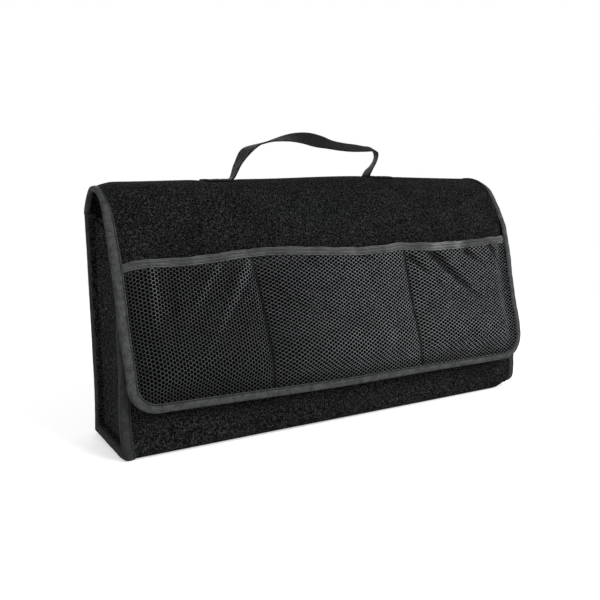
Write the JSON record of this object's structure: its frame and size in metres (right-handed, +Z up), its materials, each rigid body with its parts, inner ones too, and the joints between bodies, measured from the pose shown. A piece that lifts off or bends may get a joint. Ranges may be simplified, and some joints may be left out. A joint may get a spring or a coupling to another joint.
{
  "type": "car trunk organizer",
  "caption": "Soft needle-felt storage bag for a car boot, with a lid flap that covers the front, net pockets on the flap, taped edges, a webbing carrying handle and hook strips.",
  "frame": {"origin": "middle of the footprint, at the underside of the floor hook strips that the bag stands on", "axes": "X across the bag, the lid and the net pockets face -Y, Z up"},
  "size_m": [0.5, 0.1246, 0.3098],
  "materials": {
    "felt": "matt black needle-punched felt with a short fuzzy surface",
    "binding_tape": "dark grey woven binding tape",
    "mouth_tape": "mid grey woven tape, slightly gathered",
    "net": "grey-black polyester net with a satin yarn",
    "thread": "black sewing thread",
    "webbing": "black woven webbing",
    "hook_tape": "black hook tape with fine stiff hooks"
  },
  "bodies": {
    "bag": {"body_panel": "felt", "gusset_left": "felt", "gusset_right": "felt", "seam_binding_left": "binding_tape", "seam_binding_right": "binding_tape", "gusset_top_binding_left": "binding_tape", "gusset_top_binding_right": "binding_tape", "front_top_binding": "binding_tape", "floor_hook_strip_front": "hook_tape", "floor_hook_strip_back": "hook_tape"},
    "flap": {"flap_panel": "felt", "flap_binding": "binding_tape", "mesh_pocket_panel": "net", "pocket_top_binding": "mouth_tape", "pocket_seam_left": "thread", "pocket_seam_right": "thread", "handle_strap": "webbing", "handle_stitching_left": "thread", "handle_stitching_right": "thread", "flap_hook_strip_left": "hook_tape", "flap_hook_strip_right": "hook_tape"}
  },
  "joints": [
    {"name": "flap_hinge", "type": "hinge", "parent": "bag", "child": "flap", "pos_m": [0, 0.0614, 0.226], "axis": [-1, 0, 0], "range_deg": [0, 170]}
  ]
}
